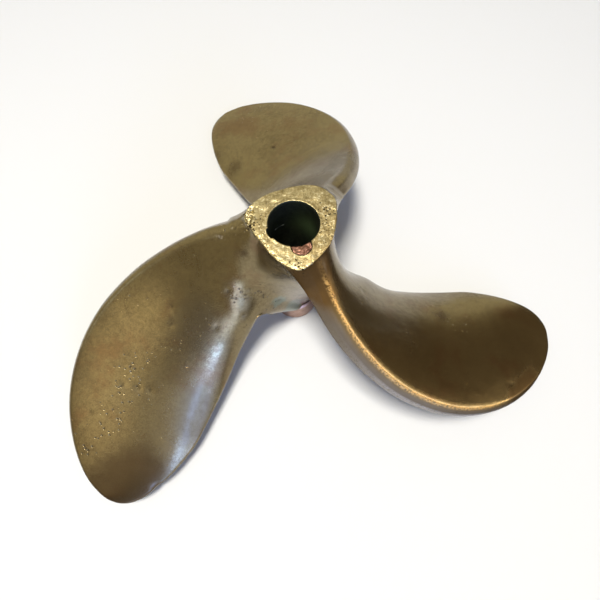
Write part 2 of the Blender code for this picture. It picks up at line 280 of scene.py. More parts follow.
def stationCurve(column, radius):
    return tableCurve(casting["stations"], column, radius)


def hubRadius(height):
    return tableCurve(casting["hubStations"], 1, -height)


# Half the chord at a radius, and the share of it that the bevel takes beside the leading edge
def halfChord(shape):
    tip, widest = casting["tipRadius"], casting["widestRadius"]
    outward = clamp((shape - widest) / (tip - widest))
    half = 0.5 * stationCurve(4, shape) * np.sqrt(1.0 - outward ** 2)
    atTip, atHub, fading = casting["bevel"][:3]
    share = (atTip + atHub * nearHub(shape, fading)) / np.maximum(half, 1.0)
    return half, np.minimum(share, 0.5)


# One point of a blade's skin as angle and height, for a radius and a place s along the chord from
# -1, the leading edge, to 1, the trailing edge. side is 1 on the arched back and -1 on the flat face.
# The chord is a piece of a helix: angle grows by x cos(b) / r and height falls by x sin(b).
def bladePoint(radius, s, side):
    shape = np.maximum(radius, casting["rootEnd"])
    b = np.arctan(stationCurve(3, shape) / (math.tau * shape))
    half, share = halfChord(shape)
    tip, (root, power) = casting["tipRadius"], casting["thinning"]
    run = clamp((shape - root) / (tip - root)) ** power
    thick = blend(casting["thickness"], run)
    lead, trail = clamp(0.5 - 0.5 * s), clamp(0.5 + 0.5 * s)

    # the rim is a rounded edge, squarer at the hub, and it closes at the tip
    extra, fading = casting["leadingExtra"]
    edgeHalf = 0.5 * casting["edgeThickness"] + extra * nearHub(shape, fading) * lead ** 2
    rounding = np.sqrt(clamp(1.0 - clamp((radius - tip) / edgeHalf + 1.0) ** 2))
    edge = clamp((1.0 - np.abs(s)) * half / edgeHalf)
    extra, fading = casting["cornerSquare"]
    square = 2.0 + extra * nearHub(shape, fading) * lead
    rim = edgeHalf * (1.0 - (1.0 - edge) ** square) ** (1.0 / square)

    # the back stands over it: flat, with a soft bevel before the chord's middle and a power after it
    soft = casting["bevel"][3]
    bevelled = 1.0 - soft * np.log1p(np.exp((np.abs(s) - 1.0 + share) / (share * soft)))
    arch = np.where(s < 0, bevelled, 1.0 - np.abs(s) ** casting["trailingPower"])
    arch = np.maximum(thick - 2.0 * edgeHalf, 0.0) * np.maximum(arch, 0.0)
    across = (side * rim + np.where(side > 0, arch, 0.0)) * rounding

    # at the root the trailing edge drops and the leading edge rises
    drop = between(shape, (casting["trailStart"], casting["rootEnd"])) * trail ** 2
    rise = between(shape, (casting["leadStart"], casting["rootEnd"])) * lead ** 2
    along = s * half
    arc = along * np.cos(b) + across * np.sin(b) + casting["trailSweep"] * drop
    height = stationCurve(2, shape) - along * np.sin(b) + across * np.cos(b)
    height = height - casting["trailDrop"] * drop + casting["leadRise"] * rise
    return np.radians(stationCurve(1, shape)) + arc / shape, height


# The line on the hub half way between two blades, as an angle for a height
def dividingAngle(height, way):
    return np.radians(casting["dividingAngle"] - height + 180.0 / casting["blades"] * way)


# Outline of one third on the hub: s runs along a piece of the top edge, down the dividing line
# and along a piece of the bottom edge, on the side that way names.
def thirdOutline(s, way):
    top, low, corner = casting["riser"], -casting["hubLength"] - casting["riser"], 0.85
    height = blend((top, low), clamp((s + corner) / (2.0 * corner)))
    inward = clamp((1.0 - np.abs(s)) / (1.0 - corner))
    return dividingAngle(height, way * inward), height


# One third of the casting as a grid. Columns run round the blade's section. Rows start on the
# hub half way to the next blades, cross it to the fillet's foot, climb a quarter circle and then
# go out along the blade to the tip, where all columns meet. For the materials it notes where a point
# lies on the chord, how far it faces the back, and how far it is across the bevel, 0 at its ridge.
def castingThird():
    turn = np.linspace(0.0, math.pi, casting["columns"] + 1)
    s = np.concatenate([-np.cos(turn), np.cos(turn[1:-1])])[None, :]
    side = np.concatenate([np.ones(casting["columns"] + 1), -np.ones(casting["columns"] - 1)])[None, :]
    side[0, 0] = side[0, casting["columns"]] = 0.0
    way = np.where(side < 0, -1.0, 1.0)
    outAngle, outHeight = thirdOutline(s, way)
    # the foot is where the blade meets the hub, which four steps towards it find well enough
    foot = np.full_like(s, casting["hubRadius"])
    for step in range(4):
        foot = 0.5 * (foot + hubRadius(bladePoint(foot, s, side)[1]))
    inAngle, inHeight = bladePoint(foot, s, side)
    arc, fall = (outAngle - inAngle) * foot, outHeight - inHeight
    reach = np.hypot(arc, fall)
    along = 0.5 + 0.5 * s
    back = side * np.sqrt(1.0 - s * s)
    fillet = [blend(casting[name], along) for name in ("faceFillet", "backFillet")]
    fillet = blend(fillet, 0.5 + 0.5 * back)
    spread = casting["filletShare"] * reach

    rows = [(blend((reach, spread), part), np.zeros_like(reach))
            for part in np.linspace(0.0, 1.0, casting["hubRows"], endpoint=False)]
    rows += [(spread * (1.0 - math.sin(lean)), fillet * (1.0 - math.cos(lean)))
             for lean in np.linspace(0.0, 0.5 * math.pi, casting["filletRows"], endpoint=False)]
    far, out = (np.concatenate(part) for part in zip(*rows))
    baseAngle, baseHeight = bladePoint(foot + out, s, side)
    angle = baseAngle + far * arc / reach / foot
    height = baseHeight + far * fall / reach
    radius = hubRadius(height) + out

    # the rows of the blade start where the fillet ends, found in the same way
    start = foot + fillet
    for step in range(4):
        start = 0.5 * (start + fillet + hubRadius(bladePoint(start, s, side)[1]))
    outward = np.linspace(0.0, 1.0, casting["bladeRows"] + 1)[:-1, None]
    outward = 1.0 - (1.0 - outward) ** casting["rowCrowding"]
    tip = casting["tipRadius"]
    outer = blend((start, tip), outward)
    outer = (outer, *bladePoint(outer, s, side))
    radius, angle, height = (np.concatenate(part) for part in zip((radius, angle, height), outer))
    share, flat = halfChord(radius)[1], np.zeros_like(radius)
    noted = {"chord": s + flat, "back": back + flat, "bevel": np.clip((share - 1.0 - s) / share, -3.0, 1.0)}
    tipAngle, tipHeight = bladePoint(*np.array([[tip], [0.0], [0.0]]))
    return radius, angle, height, noted, (tip, tipAngle[0], tipHeight[0])


# Quads of a grid whose columns close on themselves
def closedGridFaces(rows, columns):
    i = np.arange(rows - 1)[:, None] * columns
    j = np.arange(columns)[None, :]
    k = (j + 1) % columns
    return np.stack([i + j, i + k, i + columns + k, i + columns + j], axis=-1).reshape(-1, 4)


def cylinderPoints(radius, angle, height):  # millimetres round the axis to metres in the frame
    return np.stack([radius * np.cos(angle) * mm, radius * np.sin(angle) * mm,
                     height * mm + faceHeight], axis=-1)


def polar(point):  # angles from 0 to a full turn, and radii in millimetres
    return np.arctan2(point[:, 1], point[:, 0]) % math.tau, np.hypot(point[:, 0], point[:, 1]) / mm


# The points of an open edge at one level, sorted by angle, as angle, radius in mm and index
def rimLoop(point, rim, level):
    rim = rim[np.abs(point[rim, 2] - level) < nearly]
    angle, radius = polar(point[rim])
    return np.stack([angle, radius, rim], axis=1)[np.argsort(angle)]


# Radius of a rim at each wanted angle, read off the open edge that a level cut leaves
def rimRadius(loop, wanted):
    return np.interp(wanted, loop[:, 0], loop[:, 1], period=math.tau)


# Smooth closed curve through the outline's points: a cubic between neighbours in angle
def outlineRadius(angle):
    table = np.array(casting["faceOutline"], float)
    table[:, 0] = np.radians(table[:, 0])
    turn = np.array([math.tau, 0.0])
    return tableCurve(np.vstack([table[-3:] - turn, table, table[:3] + turn]), 1, angle)


# Moves the skin under the face in or out until its rim has the filed outline. The move fades with
# depth and with distance outside the rim.
def fileOutline(point, loop, top):
    angle, radius = polar(point)
    rim = rimRadius(loop, angle)
    depth = (top - point[:, 2]) / mm
    weight = fadeOut(depth / casting["outlineDepth"]) * fadeOut((radius - rim) / casting["outlineDepth"])
    scale = 1.0 + weight * (outlineRadius(angle) / rim - 1.0)
    return point * np.stack([scale, scale, np.ones_like(scale)], axis=1)


# Evens out the roots as a caster's thumb does with wax: each point moves half way to the mean of its
# neighbours, many times over, except at the rims, at the blades' edges and out on the blades.
def evenOut(point, edges, chord, top, low):
    weight = 1.0 - between(polar(point)[1], casting["easeRadius"])
    weight = weight * (1.0 - between(np.abs(chord), casting["easeEdge"]))
    for depth in (top - point[:, 2], point[:, 2] - low):
        weight = weight * between(depth / mm, casting["easeDepth"])
    count = len(point)
    first, second = edges[:, 0], edges[:, 1]
    near = np.maximum(np.bincount(first, minlength=count) + np.bincount(second, minlength=count), 1)
    for step in range(casting["easeRounds"]):
        total = np.stack([np.bincount(first, point[second, axis], count)
                          + np.bincount(second, point[first, axis], count) for axis in range(3)], axis=1)
        point = point + 0.5 * weight[:, None] * (total / near[:, None] - point)
    return point


# Notes one number for each point of a mesh, which the materials read by its name
def notePoints(mesh, name, values):
    layer = mesh.attributes.new(name, "FLOAT", "POINT")
    layer.data.foreach_set("value", np.asarray(values, np.float32).ravel())


# Cuts a skin level near its axis: what lies above the level goes, or below it where up is -1
def cutLevel(skin, level, up):
    reach = casting["cutWithin"] * mm
    near = [face for face in skin.faces if face.calc_center_median().to_2d().length < reach]
    parts = dict.fromkeys(part for face in near for part in (*face.verts, *face.edges))
    bmesh.ops.bisect_plane(skin, geom=[*parts, *near], dist=nearly / 4.0, clear_outer=True,
                           plane_co=(0.0, 0.0, level), plane_no=(0.0, 0.0, up))


# All three thirds as one open skin, merged along the dividing lines and cut level at both ends.
# Gives its points, its faces as corners and starts, its named values and its two rims.
def castingSkin():
    radius, angle, height, noted, tip = castingThird()
    rows, columns = radius.shape
    last = (rows - 1) * columns
    faces = closedGridFaces(rows, columns).tolist()
    faces += [(last + i, last + (i + 1) % columns, rows * columns) for i in range(columns)]
    skin = bmesh.new()
    for third in range(casting["blades"]):
        turn = third * math.tau / casting["blades"]
        points = cylinderPoints(radius, angle + turn, height).reshape(-1, 3)
        pole = cylinderPoints(tip[0], tip[1] + turn, tip[2])
        mesh = bpy.data.meshes.new("third")
        mesh.from_pydata(np.vstack([points, pole]).tolist(), [], faces)
        for name, value in noted.items():
            notePoints(mesh, name, np.append(value, 0.0))
        notePoints(mesh, "blade", np.full(len(points) + 1, third))
        skin.from_mesh(mesh)
        bpy.data.meshes.remove(mesh)
    bmesh.ops.remove_doubles(skin, verts=skin.verts, dist=2.0 * nearly)
    easing = casting["edgeRound"][0]
    top, low = faceHeight - easing * mm, faceHeight - (casting["hubLength"] - easing) * mm
    cutLevel(skin, top, 1.0)
    cutLevel(skin, low, -1.0)
    mesh = bpy.data.meshes.new("skin")
    skin.to_mesh(mesh)
    skin.free()
    point = readArray(mesh.vertices, "co", 3).astype(float)
    edges = readArray(mesh.edges, "vertices", 2, np.int32)
    corners = readArray(mesh.loops, "vertex_index", 1, np.int32)
    starts = readArray(mesh.polygons, "loop_start", 1, np.int32)
    values = {name: readArray(mesh.attributes[name].data, "value") for name in (*noted, "blade")}
    used = np.bincount(readArray(mesh.loops, "edge_index", 1, np.int32), minlength=len(edges))
    bpy.data.meshes.remove(mesh)
    rim = np.unique(edges[used == 1])
    point = fileOutline(point, rimLoop(point, rim, top), top)
    point = evenOut(point, edges, values["chord"], top, low)
    return point, corners, starts, values, rimLoop(point, rim, top), rimLoop(point, rim, low)


# Radius of the bore's wall at an angle and height: the cone, the keyway that leans with it, or the
# part of the peg's round seat that lies outside the cone.
def boreWall(angle, height):
    cone = bore["mouthRadius"] + height * bore["taper"]
    turn = angle - math.radians(bore["keyAngle"])
    across = np.abs(np.sin(turn)) * cone / (0.5 * bore["keyWidth"])
    deep = bore["keyDepth"] * clamp(1.0 - across ** 3) ** (1.0 / 3.0)
    inKey = (across < 1.0) & (np.cos(turn) > 0)
    key = np.where(inKey, cone + deep, 0.0)
    turn = angle - math.radians(bore["pegAngle"])
    seatRadius, centre = bore["pegRadius"] + bore["gap"], bore["pegCentre"]
    inside = seatRadius ** 2 - (centre * np.sin(turn)) ** 2
    deep = bore["pegDrop"] + bore["pegLength"] + bore["gap"]
    inSeat = (inside > 0) & (np.cos(turn) > 0) & (height > -deep)
    seat = np.where(inSeat, centre * np.cos(turn) + np.sqrt(np.maximum(inside, 0.0)), 0.0)
    return np.maximum(cone, np.maximum(key, seat))


# Angles of the polar grid: even steps, with two close together at each side of the keyway
def boreAngles():
    even = np.linspace(0.0, math.tau, bore["columns"], endpoint=False)
    half = np.arcsin(0.5 * bore["keyWidth"] / bore["mouthRadius"])
    key = math.radians(bore["keyAngle"])
    sides = np.array([key - half, key + half])
    beside, clear = bore["keyColumns"]
    close = np.abs(even[:, None] - sides).min(axis=1) < clear
    extra = (sides[:, None] + (-beside, beside)).ravel()
    return np.sort(np.concatenate([even[~close], extra]))


# Triangles between two closed loops with unlike numbers of points, both sorted by angle: the points
# of both are taken in order of angle and each one closes a triangle with the last of either loop.
# The second loop's points are counted on from the first's.
def zipLoops(angleOut, angleIn):
    countOut, countIn = len(angleOut), len(angleIn)
    isOut = np.argsort(np.concatenate([angleOut, angleIn]), kind="stable") < countOut
    stepOut = np.cumsum(isOut) - isOut
    stepIn = np.cumsum(~isOut) - ~isOut
    following = np.where(isOut, stepOut % countOut, countOut + stepIn % countIn)
    return np.stack([(stepOut - 1) % countOut, following, countOut + (stepIn - 1) % countIn], axis=1)


# The flat face, the bore's chamfer and wall, and the flat end, as one polar grid from the upper
# rim down to the lower rim. It is joined to the skin by triangles at both rims.
def castingInside(topLoop, lowLoop):
    angle = boreAngles()
    rimTop, rimLow = rimRadius(topLoop, angle), rimRadius(lowLoop, angle)
    easing, rounds = casting["edgeRound"]
    end, chamfer = -casting["hubLength"], bore["chamfer"]
    leans = np.linspace(0.0, 0.5 * math.pi, rounds + 1)[1:]
    mouth, outer = boreWall(angle, 0.0) + chamfer, rimTop - easing
    seat = -(bore["pegDrop"] + bore["pegLength"] + bore["gap"])
    rings = [(rimTop - easing * (1.0 - math.cos(lean)), -easing * (1.0 - math.sin(lean))) for lean in leans]
    rings += [(blend((outer, mouth), part), 0.0) for part in np.linspace(0.0, 1.0, bore["faceRows"] + 1)[1:]]
    # the wall's rows, with two close together at the floor of the peg's seat
    wall = [-chamfer, *np.linspace(-2.0, seat + 0.01, bore["rows"]), seat - 0.01,
            *np.linspace(seat - 3.0, end + 2.0, bore["rows"]), end + chamfer]
    rings += [(boreWall(angle, height), height) for height in wall]
    rings += [(boreWall(angle, end) + chamfer, end), (rimLow - easing, end)]
    rings += [(rimLow - easing * (1.0 - math.cos(lean)), end + easing * (1.0 - math.sin(lean)))
              for lean in leans[-2::-1]]
    radius, height = zip(*rings)
    return np.broadcast_arrays(np.array(radius), angle, np.array(height)[:, None])


def newObject(name, data):
    made = bpy.data.objects.new(name, data)
    bpy.context.scene.collection.objects.link(made)
    return made


# A smooth object from points, the points at its faces' corners, and where each face starts in them
def meshObject(name, points, corners, starts):
    mesh = bpy.data.meshes.new(name)
    mesh.vertices.add(len(points))
    mesh.vertices.foreach_set("co", np.asarray(points, np.float32).ravel())
    mesh.loops.add(len(corners))
    mesh.loops.foreach_set("vertex_index", np.asarray(corners, np.int32))
    mesh.polygons.add(len(starts))
    mesh.polygons.foreach_set("loop_start", np.asarray(starts, np.int32))
    mesh.update(calc_edges=True)
    mesh.shade_smooth()
    return newObject(name, mesh)


# Corners and starts of several arrays of faces, one after the other
def joinFaces(parts):
    corners = np.concatenate([part.ravel() for part in parts])
    sizes = np.concatenate([np.full(len(part), part.shape[1]) for part in parts])
    return corners, np.cumsum(sizes) - sizes


# Points every face of a closed piece outwards and says how many edges are open
def closeUp(made):
    shell = bmesh.new()
    shell.from_mesh(made.data)
    bmesh.ops.recalc_face_normals(shell, faces=shell.faces)
    shell.to_mesh(made.data)
    shell.free()
    mesh = made.data
    used = np.bincount(readArray(mesh.loops, "edge_index", 1, np.int32), minlength=len(mesh.edges))
    gaps = np.count_nonzero(used != 2)
    print(made.name, len(mesh.vertices), "points,", len(mesh.polygons), "faces,", gaps, "open edges")


# Files the face by hand. All of the file's marks only take metal away, and they fade with depth.
def fileFace(point):
    place, (angle, radius) = point / mm, polar(point)
    depth = faceHeight / mm - place[:, 2]
    size, lowest, fading = filing["waves"]
    drop = lowest * hills(place, size, 3) * fadeOut(depth / fading)
    clear, soft = filing["mouthClear"]
    drop = drop * smoothStep((radius - bore["mouthRadius"] - clear) / soft)

    size, lowest, fading = filing["notches"]
    width, (most, spread, least) = filing["notchedWidth"], filing["notchedMost"]
    near = smoothStep((radius - outlineRadius(angle) + width) / width) * fadeOut(depth / fading)
    near = near * (least + (1.0 - least) * smoothStep(1.0 - np.abs(np.degrees(angle) - most) / spread))
    drop = drop + lowest * near * np.clip(0.3 + 0.7 * swells(place, size, 5), 0.0, 1.2)

    size, lowest, fading = filing["step"]
    start, end, soft = filing["stepAngles"]
    inner, width = filing["stepInner"]
    sway, swaySize, swayDepth = filing["stepSway"]
    turn = np.degrees(angle) + sway * swells(place, swaySize, 9) * (depth < swayDepth)
    around = smoothStep((turn - start) / soft) * fadeOut((turn - end) / soft)
    lumps = np.clip(0.5 + 0.6 * swells(place, size, 7), 0.0, 1.2)
    around = around * smoothStep((radius - inner) / width) * fadeOut(depth / fading)
    drop = drop + lowest * around * lumps
    return point - np.stack([np.zeros_like(drop), np.zeros_like(drop), drop * mm], axis=1)


# The copper peg, in millimetres. "inside" is the radius of a place inside it, from which its outline
# is measured.
peg = {
    "inside": 15.2,
    "columns": 96,
    "rings": 16,
    "rows": 6,
    "edge": 0.5,  # rounding of its upper edge
    "hammer": (2.2, 0.45),  # size and depth of the hammer's dents
    "ragged": 0.35,  # how far its upper edge is beaten in
    "raggedDepth": 1.2,  # how far down the hammer is felt
    "clear": 0.02,  # how far it stands back from the bore's wall
}


# The peg's outline at each angle is the nearer of its own circle and the bore's wall. Its rings run
# from the middle of the bottom up the side to the hammered top.
def makePeg():
    columns, inside, radius, edge = peg["columns"], peg["inside"], bore["pegRadius"], peg["edge"]
    turn = np.linspace(0.0, math.tau, columns, endpoint=False)
    top, low = -bore["pegDrop"], -bore["pegDrop"] - bore["pegLength"]
    full = np.linspace(0.04, 1.0, peg["rings"])
    rings = [(part, 0.0, low) for part in full]
    rings += [(1.0, 0.0, height) for height in np.linspace(low, top - edge, peg["rows"])[1:]]
    rings += [(1.0, edge * (1.0 - math.sin(lean)), top - edge * (1.0 - math.cos(lean)))
              for lean in np.linspace(0.5 * math.pi, 0.0, 5)[1:]]
    rings += [(part, edge, top) for part in full[::-1][1:]]
    part, inwards, height = (values[:, None] for values in np.array(rings).T)
    shift = inside - bore["pegCentre"]
    along = shift * np.cos(turn)
    outline = -along + np.sqrt(along ** 2 + radius ** 2 - shift ** 2)
    wall = bore["mouthRadius"] + height * bore["taper"] + peg["clear"]
    along = inside * np.cos(turn)
    meets = along ** 2 - inside ** 2 + wall ** 2
    hole = np.where((meets > 0) & (along < 0), -along - np.sqrt(np.maximum(meets, 0.0)), radius * 4.0)
    reach = part * (np.minimum(outline, hole) - inwards)
    points = np.stack([inside + reach * np.cos(turn), reach * np.sin(turn), height + 0.0 * turn], axis=-1)
    points = np.vstack([points.reshape(-1, 3), [(inside, 0.0, low), (inside, 0.0, top)]])

    depth = fadeOut((top - points[:, 2]) / peg["raggedDepth"])
    size, deepest = peg["hammer"]
    points[:, 2] -= deepest * depth * hills(points, size, 31)
    shrink = peg["ragged"] * depth * clamp(swells(points, size, 33))
    outer = np.maximum(np.hypot(points[:, 0] - inside, points[:, 1]), 0.01)
    shrink = shrink / outer * smoothStep(outer - 1.0)
    points[:, 0] -= shrink * (points[:, 0] - inside)
    points[:, 1] -= shrink * points[:, 1]
    count = len(rings) * columns
    first = np.arange(columns)
    following, last = (first + 1) % columns, count - columns
    bottom = np.stack([following, first, np.full_like(first, count)], axis=1)
    cap = np.stack([last + first, last + following, np.full_like(first, count + 1)], axis=1)
    angle, radius = polar(points * mm)
    points = cylinderPoints(radius, angle + math.radians(bore["pegAngle"]), points[:, 2])
    faces = joinFaces([closedGridFaces(len(rings), columns), bottom, cap])
    made = meshObject("hammered_peg", points, *faces)
    closeUp(made)
    return made


# Moves a casting's points inwards along their normals by dents and, away from its face and out of its
# inside, by swells. Notes its marks for the materials.
def weather(made, count):
    mesh = made.data
    point = readArray(mesh.vertices, "co", 3).astype(float)
    normal = readArray(mesh.vertex_normals, "vector", 3)
    place = point / mm
    skin = (np.arange(len(point)) < count) * between(faceHeight / mm - place[:, 2], casting["unevenFrom"])
    inward = spots(place, marks["dents"])
    for number, (size, deep) in enumerate(casting["unevenness"]):
        inward = inward + skin * deep * hills(place, size, 20 + number)
    point = point - normal * (inward * mm)[:, None]
    mesh.vertices.foreach_set("co", point.astype(np.float32).ravel())
    mesh.update()
    hollows = [(x, y, z, size * 0.9, 1.0) for x, y, z, size, deep in marks["dents"]]
    for name, table in {**marks, "dents": hollows}.items():
        notePoints(mesh, name, clamp(spots(place, table)))


# The casting's outer skin and its inside as one closed piece. Materials: patina on the skin, filed
# metal on the face, bored metal inside.
def makeCasting():
    skin, corners, starts, values, topLoop, lowLoop = castingSkin()
    radius, angle, height = castingInside(topLoop, lowLoop)
    rows, columns = radius.shape
    count = len(skin)
    points = np.vstack([skin, cylinderPoints(radius, angle, height).reshape(-1, 3)])
    grid = closedGridFaces(rows, columns) + count
    zips = []
    for loop, row in ((topLoop, 0), (lowLoop, rows - 1)):
        look = np.concatenate([loop[:, 2].astype(int), count + row * columns + np.arange(columns)])
        zips.append(look[zipLoops(loop[:, 0], angle[0])])
    insideCorners, insideStarts = joinFaces([grid, *zips])
    made = meshObject("casting_skin", fileFace(points), np.concatenate([corners, insideCorners]),
                      np.concatenate([starts, insideStarts + len(corners)]))
    for name, value in values.items():
        notePoints(made.data, name, np.append(value, np.zeros(rows * columns)))
    onFace = np.repeat(np.arange(rows - 1), columns) < casting["edgeRound"][1] + bore["faceRows"] - 1
    slot = np.zeros(len(starts) + len(insideStarts), np.int32)
    slot[len(starts):][:len(grid)] = np.where(onFace, 1, 2)
    slot[len(starts) + len(grid):][:len(zips[0])] = 1
    made.data.polygons.foreach_set("material_index", slot)
    closeUp(made)
    weather(made, count)
    return made


# Fills a node's inputs, by name or number, with other nodes' sockets or with numbers. A colour is
# given as three numbers.
def feed(tree, node, values):
    for name, value in values.items():
        socket = node.inputs[name]
        if isinstance(value, bpy.types.NodeSocket):
            tree.links.new(value, socket)
        else:
            socket.default_value = (*value, 1.0) if socket.type == "RGBA" else value


def put(tree, kind, settings=None, values=None):  # a new node with its own choices and its inputs
    node = tree.nodes.new("ShaderNode" + kind)
    for name, value in (settings or {}).items():
        setattr(node, name, value)
    feed(tree, node, values or {})
    return node


# The tree that values belong to, which the first socket among them knows
def treeOf(*values):
    return next(value.id_data for value in values if isinstance(value, bpy.types.NodeSocket))


def arithmetic(operation, a, b=0.0):
    return put(treeOf(a, b), "Math", {"operation": operation}, {0: a, 1: b}).outputs[0]


def larger(a, b):
    return arithmetic("MAXIMUM", a, b)


def less(a, b):
    return arithmetic("SUBTRACT", a, b)


def add(value, *others):  # a sum
    for other in others:
        value = arithmetic("ADD", value, other)
    return value


def weigh(value, *amounts):  # a product
    for amount in amounts:
        value = arithmetic("MULTIPLY", value, amount)
    return value


# Arithmetic with vectors. What measures them gives a number, and the rest gives a vector.
def vectorMath(operation, a, b=(0.0, 0.0, 0.0)):
    node = put(treeOf(a, b), "VectorMath", {"operation": operation}, {0: a, 1: b})
    return node.outputs["Value" if operation in ("DOT_PRODUCT", "DISTANCE", "LENGTH") else "Vector"]


def fade(value, start, end):  # 0 at start, 1 at end, smooth between
    values = {"Value": value, "From Min": start, "From Max": end}
    return put(value.id_data, "MapRange", {"interpolation_type": "SMOOTHSTEP"}, values).outputs[0]


def mixColour(factor, a, b):
    return put(factor.id_data, "Mix", {"data_type": "RGBA"}, {0: factor, 6: a, 7: b}).outputs[2]


def noise(vector, scale, detail, roughness):
    values = {"Vector": vector, "Scale": scale, "Detail": detail, "Roughness": roughness}
    return put(vector.id_data, "TexNoise", None, values).outputs[0]


def mapping(vector, **values):  # a place moved, turned and scaled
    return put(vector.id_data, "Mapping", None, {"Vector": vector, **values}).outputs[0]


def attribute(tree, name):
    return put(tree, "Attribute", {"attribute_name": name}).outputs["Fac"]


# Paints layers over a colour. Each has a mask, and by the same name its strength and its colour.
def paint(colour, masks, layers):
    for name, mask in masks.items():
        strength, shade = layers[name]
        colour = mixColour(weigh(mask, strength), colour, shade)
    return colour


# Bumps one over another, each with its height, how far that reaches in metres, and its strength
def relief(bumps):
    values = {}
    for height, distance, strength in bumps:
        values.update({"Height": height, "Distance": distance, "Strength": strength})
        values["Normal"] = put(height.id_data, "Bump", None, values).outputs[0]
    return values["Normal"]


def newGroup(name, inputs, outputs):  # a shader node group with named sockets
    tree = bpy.data.node_groups.new(name, "ShaderNodeTree")
    for way, sockets in (("INPUT", inputs), ("OUTPUT", outputs)):
        for label, kind in sockets.items():
            tree.interface.new_socket(label, in_out=way, socket_type="NodeSocket" + kind)
    return tree, tree.nodes.new("NodeGroupInput").outputs, tree.nodes.new("NodeGroupOutput")


# The patina's noises, each with its scale, detail and roughness, then how much it counts in the mix of
# the light and the dark tone
clouding = {
    "clouds": (18.0, 4.0, 0.60, 0.50),
    "blotches": (90.0, 4.0, 0.65, 0.35),
    "specks": (420.0, 3.0, 0.60, 0.45),
    "grain": (1500.0, 2.0, 0.60, 0.55),
}

# Each metal's patina: the light, the dark and the red tone, then how dark and how rough it is
tones = {
    "old_bronze": ((0.275, 0.22, 0.115), (0.125, 0.085, 0.036), (0.20, 0.115, 0.055), 0.42, 0.20),
    "filed_bronze": ((0.46, 0.38, 0.19), (0.17, 0.12, 0.042), (0.33, 0.23, 0.09), 0.46, 0.36),
    # the bore's tones are near black: the shade inside the deep hole is painted into them
    "bored_bronze_painted_shade": ((0.035, 0.045, 0.022), (0.006, 0.006, 0.005), (0.02, 0.022, 0.012), 0.55, 0.5),
    "hammered_copper": ((0.38, 0.19, 0.115), (0.09, 0.036, 0.02), (0.09, 0.036, 0.02), 0.5, 0.42),
    "pale_copper": ((0.62, 0.40, 0.30), (0.36, 0.2, 0.13), (0.36, 0.2, 0.13), 0.5, 0.4),
}


# Patina: the noises mix a light and a dark tone, some of it turns to a third, red tone, and the
# smaller noises vary the gloss
def patinaGroup():
    inputs = {"Vector": "Vector", "Light": "Color", "Dark": "Color", "Red": "Color", "Darkness": "Float",
              "Roughness": "Float"}
    outputs = {"Color": "Color", "Roughness": "Float", "Grain": "Float"}
    tree, given, result = newGroup("patina", inputs, outputs)
    place = given["Vector"]
    clouds, blotches, specks, grain = (noise(place, *values[:3]) for values in clouding.values())
    shares = [values[3] for values in clouding.values()]
    mixed = add(*(weigh(*pair) for pair in zip((clouds, blotches, specks, grain), shares)))
    dark = fade(add(mixed, less(given["Darkness"], 0.92)), 0.20, 0.80)
    colour = mixColour(dark, given["Light"], given["Dark"])
    reddish = fade(noise(mapping(place, Location=(3, 5, 7)), 34.0, 5.0, 0.65), 0.50, 0.68)
    rough = add(given["Roughness"], weigh(less(blotches, 0.5), 0.20), weigh(less(specks, 0.5), 0.16))
    feed(tree, result, {
        "Color": mixColour(weigh(reddish, 0.55), colour, given["Red"]),
        "Roughness": rough,
        "Grain": add(weigh(specks, 0.3), weigh(grain, 0.7)),
    })
    return tree


# Small pits: cells of a Voronoi texture, kept where a cloudy noise is high
def pitsGroup():
    tree, given, result = newGroup("pits", {"Vector": "Vector", "Scale": "Float", "Amount": "Float"},
                                   {"Mask": "Float", "Height": "Float"})
    place = given["Vector"]
    cell = put(tree, "TexVoronoi", None, {"Vector": place, "Scale": given["Scale"]}).outputs["Distance"]
    where = noise(place, 45.0, 3.0, 0.6)
    limit = weigh(less(add(where, given["Amount"]), 0.72), 0.9)
    mask = fade(less(limit, cell), -0.06, 0.06)
    feed(tree, result, {"Mask": mask, "Height": weigh(mask, -1.0)})
    return tree


patina, pits = patinaGroup(), pitsGroup()


def newMaterial(name):
    made = bpy.data.materials.new(name)
    made.use_nodes = True
    tree = made.node_tree
    return made, tree, tree.nodes["Principled BSDF"], put(tree, "TexCoord").outputs["Object"]


def newMetal(name):  # a new material and the patina in its own tones
    made, tree, shader, place = newMaterial(name)
    values = dict(zip(("Light", "Dark", "Red", "Darkness", "Roughness"), tones[name]), Vector=place)
    return made, tree, shader, place, put(tree, "Group", {"node_tree": patina}, values).outputs


# Pits of a size over the metal and the casting's dents: a mask of both, and the height of the pits
def pitted(place, scale, amount, more, dented):
    tree = place.id_data
    amount = add(amount, weigh(attribute(tree, "pitted"), more))
    values = {"Vector": place, "Scale": scale, "Amount": amount}
    holes = put(tree, "Group", {"node_tree": pits}, values).outputs
    return larger(holes["Mask"], fade(attribute(tree, "dents"), *dented)), holes["Height"]


